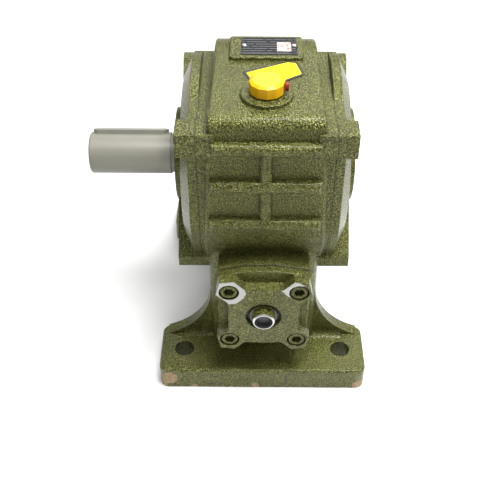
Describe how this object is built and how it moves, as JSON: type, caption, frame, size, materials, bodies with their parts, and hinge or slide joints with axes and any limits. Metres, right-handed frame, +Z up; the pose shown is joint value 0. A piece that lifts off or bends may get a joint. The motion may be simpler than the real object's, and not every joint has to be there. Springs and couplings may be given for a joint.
{
  "type": "worm gearbox",
  "caption": "Foot-mounted worm gearbox, worm below the wheel, keyed output shaft to the side, keyed input shaft behind, breather on top.",
  "frame": {"origin": "centre of the foot bolt pattern, on the underside of the feet", "axes": "+Z up, +Y along the worm towards the input shaft, +X along the output shaft away from its keyed end"},
  "size_m": [0.3065, 0.3965, 0.3635],
  "materials": {
    "green_enamel": "gloss hammertone",
    "painted_fastener": "gloss",
    "gasket_paper": "matte",
    "seal_rubber": "matte",
    "grey_coated_steel": "satin",
    "steel": "satin",
    "bronze": "satin",
    "cast_iron": "rough",
    "yellow_plastic": "satin",
    "red_plastic": "satin",
    "washer_fibre": "matte",
    "black_plate": "satin",
    "yellow_card": "gloss",
    "lens": "clear"
  },
  "bodies": {
    "gearcase": {"blind_end_cap": "green_enamel", "breather_washer": "washer_fibre", "drain_plug": "steel", "drain_washer": "washer_fibre", "front_cap_gasket": "gasket_paper", "front_cap_screws": "painted_fastener", "front_worm_bearing_outer_ring": "steel", "front_worm_cap": "green_enamel", "front_worm_seal": "seal_rubber", "housing": "green_enamel", "left_cover_bolts": "painted_fastener", "left_cover_gasket": "gasket_paper", "left_output_bearing_outer_ring": "steel", "left_side_cover": "green_enamel", "nameplate": "black_plate", "nameplate_rivets": "steel", "oil_glass_lens": "lens", "oil_glass_ring": "steel", "output_oil_seal": "seal_rubber", "rear_cap_gasket": "gasket_paper", "rear_cap_screws": "painted_fastener", "rear_worm_bearing_outer_ring": "steel", "rear_worm_cap": "green_enamel", "rear_worm_seal": "seal_rubber", "right_cover_bolts": "painted_fastener", "right_cover_gasket": "gasket_paper", "right_output_bearing_outer_ring": "steel", "right_side_cover": "green_enamel", "warning_card": "yellow_card"},
    "output": {"output_shaft": "grey_coated_steel", "output_key": "grey_coated_steel", "wheel_key": "steel", "left_spacer": "steel", "right_spacer": "steel", "worm_wheel_rim": "bronze", "wheel_hub": "cast_iron", "rim_pins": "steel", "left_output_bearing_inner_ring": "steel", "right_output_bearing_inner_ring": "steel"},
    "worm": {"worm_shaft": "steel", "input_key": "steel", "front_worm_bearing_inner_ring": "steel", "rear_worm_bearing_inner_ring": "steel"},
    "left_output_rollers": {"left_output_bearing_rollers": "steel"},
    "right_output_rollers": {"right_output_bearing_rollers": "steel"},
    "front_worm_rollers": {"front_worm_bearing_rollers": "steel"},
    "rear_worm_rollers": {"rear_worm_bearing_rollers": "steel"},
    "breather": {"breather_plug": "yellow_plastic"},
    "vent": {"vent_pin": "red_plastic"}
  },
  "joints": [
    {"name": "wheel_spin", "type": "hinge", "parent": "gearcase", "child": "output", "pos_m": [0, -0.017, 0.228], "axis": [1, 0, 0], "continuous": true},
    {"name": "worm_spin", "type": "hinge", "parent": "gearcase", "child": "worm", "pos_m": [0, -0.017, 0.12], "axis": [0, 1, 0], "continuous": true},
    {"name": "left_output_rollers_roll", "type": "hinge", "parent": "gearcase", "child": "left_output_rollers", "pos_m": [0, -0.017, 0.228], "axis": [1, 0, 0], "continuous": true},
    {"name": "right_output_rollers_roll", "type": "hinge", "parent": "gearcase", "child": "right_output_rollers", "pos_m": [0, -0.017, 0.228], "axis": [1, 0, 0], "continuous": true},
    {"name": "front_worm_rollers_roll", "type": "hinge", "parent": "gearcase", "child": "front_worm_rollers", "pos_m": [0, -0.017, 0.12], "axis": [0, 1, 0], "continuous": true},
    {"name": "rear_worm_rollers_roll", "type": "hinge", "parent": "gearcase", "child": "rear_worm_rollers", "pos_m": [0, -0.017, 0.12], "axis": [0, 1, 0], "continuous": true},
    {"name": "breather_unscrew", "type": "slide", "parent": "gearcase", "child": "breather", "axis": [0, 0, 1], "range_m": [0, 0.018]},
    {"name": "vent_pin_pull", "type": "slide", "parent": "breather", "child": "vent", "axis": [1, 0, 0], "range_m": [0, 0.008]}
  ],
  "couplings": [
    {"joint": "worm_spin", "follows": "wheel_spin", "ratio": -34},
    {"joint": "left_output_rollers_roll", "follows": "wheel_spin", "ratio": 0.4257},
    {"joint": "right_output_rollers_roll", "follows": "wheel_spin", "ratio": 0.4257},
    {"joint": "front_worm_rollers_roll", "follows": "wheel_spin", "ratio": -13.532},
    {"joint": "rear_worm_rollers_roll", "follows": "wheel_spin", "ratio": -13.532}
  ]
}
